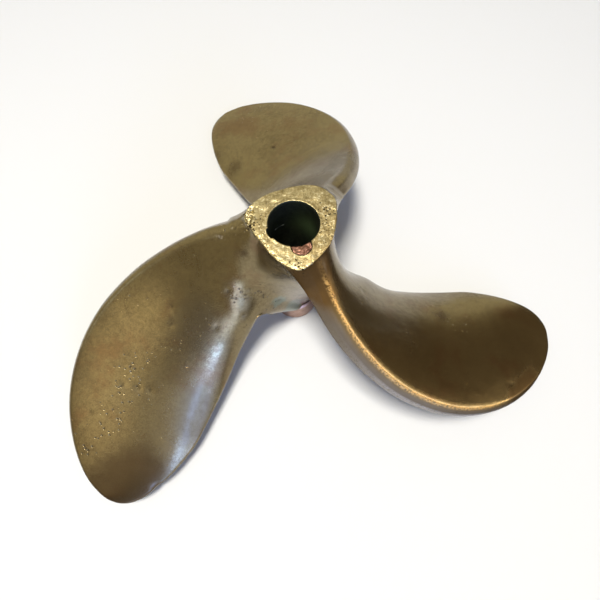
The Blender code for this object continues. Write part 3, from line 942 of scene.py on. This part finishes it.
# What lies over the old bronze's patina, each with its strength and colour
bronze = {
    "flank": (0.9, (0.145, 0.092, 0.034)),  # the bevel beside the leading edge
    "flankOut": (0.155, 0.125, 0.088),  # its colour at the rim
    "brushed": (1.0, (0.10, 0.055, 0.018)),
    # brighter golden along the ridge of one blade's bevel, only as far out as its highlight reaches: a
    # painted highlight
    "ridge": (0.85, (0.58, 0.35, 0.12)),
    "dull": (0.55, (0.12, 0.10, 0.062)),
    # real stains, and painted shade that dims highlights on the right blade
    "stainAndShade": (0.85, (0.062, 0.036, 0.014)),
    "green": (0.55, (0.16, 0.24, 0.22)),
    "pits": (0.55, (0.055, 0.038, 0.018)),
    "scuff": (0.7, (0.55, 0.50, 0.46)),
    "rim": (0.9, (0.30, 0.235, 0.13)),
    # a pale line along the rim: a painted reflection of the floor
    "paintedRimReflection": (1.0, (0.42, 0.39, 0.36)),
    "glitterEnds": (0.124, 0.100),  # X in metres where the ridge's glitter and its painted highlight start and are full
    "pitting": (330.0, 0.20, 0.34),  # scale, amount, and more where the casting is pitted
}


# Old bronze: olive brown with red and dark patches, small pits, a little verdigris, a rubbed rim, and
# a fine grain that breaks the highlights up. Some dark patches are painted shade that dims highlights.
# The bevel on the back of one blade is browner; the ridge beside it glitters with a painted golden
# highlight, and its rim carries a painted pale reflection of the floor.
def bronzeMaterial():
    made, tree, shader, place, tone = newMetal("old_bronze")
    chord, bevel = attribute(tree, "chord"), attribute(tree, "bevel")
    other = arithmetic("ABSOLUTE", less(attribute(tree, "blade"), 1.0))
    here = weigh(fade(other, 0.4, 0.2), fade(attribute(tree, "back"), -0.5, -0.3))
    across = put(tree, "SeparateXYZ", None, {0: place}).outputs["X"]
    inner = weigh(here, fade(across, *bronze["glitterEnds"]))
    brushed = fade(attribute(tree, "brushed"), 0.05, 1.0)
    flank = larger(weigh(fade(bevel, -0.2, 0.3), here), brushed)
    glitter, ragged = noise(place, 1000.0, 2.0, 0.7), noise(place, 140.0, 4.0, 0.7)
    # darker where the dark marks are, ragged by a noise: real stains, and painted shade over highlights
    stainAndShade = fade(add(attribute(tree, "dark"), weigh(ragged, 0.5)), 0.25, 0.95)
    hollow, depth = pitted(place, *bronze["pitting"], (0.35, 0.9))
    fine = weigh(noise(place, 700.0, 3.0, 0.7), 2.2)
    edge = fade(arithmetic("ABSOLUTE", chord), 0.982, 1.0)
    grain = fade(tone["Grain"], 0.30, 0.55)
    # a pale line along the leading edge's rim where the marks are: a painted reflection of the floor
    paintedRimReflection = weigh(fade(chord, -0.986, -0.999), grain, here, attribute(tree, "paintedRimReflection"))
    strength, shade = bronze["flank"]
    shade = mixColour(fade(chord, -0.93, -0.995), shade, bronze["flankOut"])
    colour = mixColour(weigh(flank, strength), tone["Color"], shade)
    colour = paint(colour, {
        "brushed": brushed,
        # the ridge's colour, only on one blade and short of its tip: a painted highlight
        "ridge": weigh(fade(bevel, -0.55, -0.05), fade(bevel, 0.45, 0.05), inner,
                       fade(glitter, 0.38, 0.58)),
        "dull": attribute(tree, "dull"),
        "stainAndShade": stainAndShade,
        "green": fade(add(attribute(tree, "green"), ragged), 0.85, 1.25),
        "pits": hollow,
        "scuff": fade(add(attribute(tree, "scuffed"), fine), 1.70, 2.15),
        "rim": weigh(edge, less(1.0, flank), ragged),
        "paintedRimReflection": paintedRimReflection,
    }, bronze)
    flank = weigh(flank, less(1.0, paintedRimReflection))
    soft = larger(weigh(fade(bevel, -1.6, 0.0), inner), brushed)
    dulled = add(0.45, weigh(brushed, 0.3))
    feed(tree, shader, {
        "Base Color": colour,
        "Roughness": add(tone["Roughness"], weigh(soft, 0.24),
                         weigh(attribute(tree, "dull"), 0.16), weigh(stainAndShade, 0.16)),
        "Metallic": less(0.97, weigh(flank, dulled)),
        "Coat Weight": weigh(less(1.0, flank), 0.3),
        "Coat Roughness": 0.16,
        "Specular IOR Level": 0.0,
        "Normal": relief([(tone["Grain"], 0.00009, 0.8), (noise(place, 170.0, 3.0, 0.5), 0.00022, 0.08),
                          (depth, 0.0002, 1.0), (weigh(glitter, soft), 0.0002, 0.35)]),
    })
    return made


# What lies over the filed face's patina, each with its strength and colour
filed = {
    "strokes": (0.55, (0.13, 0.09, 0.03)),
    "low": (0.45, (0.10, 0.075, 0.026)),
    "high": (0.55, (0.78, 0.70, 0.44)),
    "pits": (0.95, (0.016, 0.011, 0.006)),
    "turns": (0.6, -0.5),  # of the file's two ways, in radians
    "strokeScale": (900, 90, 90),  # fine across them and long along them
    "pitting": (620.0, 0.31, 0.4),  # as for the old bronze
}


# Filed bronze of the face: bright high spots between dark hollows, fine file marks in two directions,
# and many small pits
def filedMaterial():
    made, tree, shader, place, tone = newMetal("filed_bronze")
    strokes = [noise(mapping(place, Rotation=(0, 0, turn), Scale=filed["strokeScale"]), 1.0, 3.0, 0.7)
               for turn in filed["turns"]]
    rough = noise(place, 650.0, 4.0, 0.75)
    hollow, depth = pitted(place, *filed["pitting"], (0.3, 0.8))
    colour = paint(tone["Color"], {
        "strokes": fade(strokes[0], 0.5, 0.72),
        "low": larger(fade(rough, 0.50, 0.64), attribute(tree, "tarnished")),
        "high": fade(rough, 0.46, 0.36),
        "pits": hollow,
    }, filed)
    normal = relief([(strokes[0], 0.00018, 0.7), (strokes[1], 0.00012, 0.6), (rough, 0.00022, 0.6),
                     (depth, 0.00025, 1.0)])
    feed(tree, shader, {"Base Color": colour, "Roughness": tone["Roughness"], "Metallic": 0.95,
                        "Normal": normal})
    return made


# What lies over the bore's patina, each with its strength and colour
bored = {
    "green": (1.0, (0.10, 0.15, 0.06)),
    "scratch": (1.0, (0.75, 0.78, 0.66)),
    "scratchEdge": (0.0006, 0.0002),  # metres from its line where it starts and is full
}


# Bore: bronze painted nearly black, the shade inside the deep hole painted into its colour, with
# turning marks, a little green, and one bright scratch along a straight line
def boredMaterial():
    made, tree, shader, place, tone = newMetal("bored_bronze_painted_shade")
    turned = noise(mapping(place, Scale=(30, 30, 1600)), 1.0, 2.0, 0.5)
    start, end = (Vector(corner) * mm for corner in bore["scratch"])
    way, half = (end - start).normalized(), (end - start).length / 2.0
    offset = vectorMath("SUBTRACT", place, (start + end) / 2.0)
    along = arithmetic("ABSOLUTE", vectorMath("DOT_PRODUCT", offset, way))
    aside = vectorMath("LENGTH", vectorMath("CROSS_PRODUCT", offset, way))
    line = weigh(fade(aside, *bored["scratchEdge"]), fade(along, half, half * 0.7))
    colour = paint(tone["Color"], {"green": attribute(tree, "green"), "scratch": line}, bored)
    feed(tree, shader, {"Base Color": colour, "Roughness": tone["Roughness"], "Metallic": 0.5,
                        "Normal": relief([(turned, 0.00003, 0.5)])})
    return made


# Copper, for the peg and the collar, each with its own tones
def copperMaterial(name):
    made, tree, shader, place, tone = newMetal(name)
    normal = relief([(tone["Grain"], 0.00008, 0.6), (noise(place, 350.0, 4.0, 0.6), 0.00025, 0.8)])
    feed(tree, shader, {"Base Color": tone["Color"], "Roughness": tone["Roughness"], "Metallic": 0.75,
                        "Normal": normal})
    return made


castingPiece = makeCasting()
for made in (bronzeMaterial(), filedMaterial(), boredMaterial()):
    castingPiece.data.materials.append(made)
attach(castingPiece, "root")
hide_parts("propeller_casting")
print("casting made")

pegPiece = makePeg()
pegPiece.data.materials.append(copperMaterial("hammered_copper"))
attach(pegPiece, "root")
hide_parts("copper_peg")
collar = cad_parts["end_collar"]
collar.data.materials.clear()
collar.data.materials.append(copperMaterial("pale_copper"))
print("peg and collar made")

# Camera: place and direction found from the photograph, in metres and degrees
view = {"place": (0.003308, -0.112188, 0.228037), "down": 68.074, "roll": 0.426, "lens": 25.54}


def makeCamera():
    made = newObject("camera", bpy.data.cameras.new("camera"))
    bpy.context.scene.camera = made
    made.data.sensor_width = 36.0
    made.data.lens = view["lens"]
    made.data.clip_start = 0.01
    down, roll = math.radians(view["down"]), math.radians(view["roll"])
    ahead = Vector((0.0, math.cos(down), -math.sin(down)))
    up = Vector((0.0, math.sin(down), math.cos(down)))
    right = Vector((1.0, 0.0, 0.0))
    turnedRight = right * math.cos(roll) + up * math.sin(roll)
    turnedUp = up * math.cos(roll) - right * math.sin(roll)
    turn = Matrix((turnedRight, turnedUp, -ahead)).transposed().to_4x4()
    made.matrix_world = Matrix.Translation(view["place"]) @ turn


# Soft lights, each at an azimuth (0 along +X, 90 along +Y) and height in degrees and a distance in
# metres, with its size in metres, its brightness as seen in a mirror, its colour, and whether it is
# felt on dull surfaces or in shiny ones
lights = {
    "overhead": ((178, 80, 1.5), (0.5, 0.5), 34.0, (1.0, 0.985, 0.95), "shiny"),
    "softKey": ((-126, 80, 1.5), (0.31, 0.31), 88.0, (1.0, 0.99, 0.97), "dull"),
    "sideWindow": ((-167, 41, 1.6), (0.25, 0.25), 1.5, (0.7, 0.85, 1.0), "shiny"),
    "lamp": ((0, 30, 1.6), (0.26, 0.34), 22.0, (1.0, 0.84, 0.60), "shiny"),
    "lowLamp": ((-4, 15, 1.6), (0.20, 0.30), 7.0, (1.0, 0.84, 0.60), "shiny"),
}

# The room round them: its walls and ceiling, and softly bounded parts of it, each with an
# azimuth and height, an inner and an outer angle from there, and a colour
room = {
    # what reaches the floor and other dull surfaces: where it comes from, and it there and opposite
    "fill": ((-140, 65), (0.27, 0.265, 0.25), (0.03, 0.03, 0.03)),
    "backdrop": (0.90, 0.895, 0.87),  # as the camera sees it
    "wall": (0.78, 0.72, 0.50),
    "ceiling": (1.0, 0.97, 0.92),
    "parts": (
        (-130, 18, 34, 66, (0.45, 0.39, 0.25)),
        (22, 15, 25, 30, (0.15, 0.10, 0.045)),
        (-97, 30, 10, 26, (0.34, 0.31, 0.27)),
        (-129, 51, 3, 17, (1.3, 1.12, 0.75)),
        (-56, 22, 6, 34, (1.05, 1.25, 2.0)),
        (-54, 38, 2, 8, (3.6, 5.6, 13.0)),
        (-88, 10, 5, 14, (2.3, 2.8, 4.3)),
        (-67, 21, 2, 11, (3.8, 6.0, 13.0)),
        (-43, 22, 2, 9, (2.3, 3.0, 6.0)),
    ),
}


def towards(azimuth, height):  # unit vector for an azimuth and a height in degrees
    azimuth, height = math.radians(azimuth), math.radians(height)
    level = math.cos(height)
    return Vector((math.cos(azimuth) * level, math.sin(azimuth) * level, math.sin(height)))


def makeLight(name, place, size, bright, colour, felt):
    lamp = bpy.data.lights.new(name, "AREA")
    lamp.shape = "RECTANGLE"
    lamp.size, lamp.size_y = size
    lamp.energy = bright * math.pi * lamp.size * lamp.size_y
    lamp.color = colour
    made = newObject(name, lamp)
    away = towards(*place[:2])
    made.location = away * place[2]
    made.rotation_mode = "QUATERNION"
    made.rotation_quaternion = away.to_track_quat("Z", "Y")
    made.visible_diffuse = felt == "dull"
    made.visible_glossy = felt == "shiny"


# The room as a world: its parts are mixed in one after another, by the cosine of the angle between
# a direction and their own
def makeWorld():
    world = bpy.data.worlds.new("room")
    bpy.context.scene.world = world
    world.use_nodes = True
    tree = world.node_tree
    direction = put(tree, "TexCoord").outputs["Generated"]
    height = put(tree, "SeparateXYZ", None, {0: direction}).outputs["Z"]
    colour = mixColour(fade(height, 0.45, 0.9), room["wall"], room["ceiling"])
    for azimuth, up, inner, outer, shade in room["parts"]:
        near = vectorMath("DOT_PRODUCT", direction, towards(azimuth, up))
        near = fade(near, math.cos(math.radians(outer)), math.cos(math.radians(inner)))
        colour = mixColour(near, colour, shade)
    source, bright, dim = room["fill"]
    near = vectorMath("DOT_PRODUCT", direction, towards(*source))
    fill = mixColour(fade(near, -0.4, 0.9), dim, bright)
    ray = put(tree, "LightPath").outputs
    colour = mixColour(arithmetic("MINIMUM", ray["Diffuse Depth"], 1.0), colour, fill)
    colour = mixColour(ray["Is Camera Ray"], colour, room["backdrop"])
    feed(tree, tree.nodes["Background"], {"Color": colour})


# The floor is plain. Where something dark stands beside it, outside the view, it is dark in mirrors:
# the dark's place, then how far from there, in metres, it starts and is full.
floor = {
    "half": 1.3,
    "colour": (0.76, 0.745, 0.70),
    "mirrored": (0.66, 0.65, 0.62),
    "dark": (0.08, 0.055, 0.025),
    "darkPlace": (0.731, -0.233),
    "darkEnds": (0.622, 0.594),
}


def makeFloor():
    half = floor["half"]
    corners = [(x * half, y * half, floorHeight) for x, y in ((-1, -1), (1, -1), (1, 1), (-1, 1))]
    made = meshObject("floor", corners, [0, 1, 2, 3], [0])
    material, tree, shader, place = newMaterial("paper")
    away = vectorMath("DISTANCE", place, (*floor["darkPlace"], floorHeight))
    mirrored = mixColour(fade(away, *floor["darkEnds"]), floor["mirrored"], floor["dark"])
    glossy = put(tree, "LightPath").outputs["Is Glossy Ray"]
    feed(tree, shader, {"Base Color": mixColour(glossy, floor["colour"], mirrored), "Roughness": 0.8,
                        "Specular IOR Level": 0.0})
    made.data.materials.append(material)


makeCamera()
makeFloor()
makeWorld()
for name, given in lights.items():
    makeLight(name, *given)
bpy.context.scene.view_settings.view_transform = "Standard"
print("camera, floor and lights made")
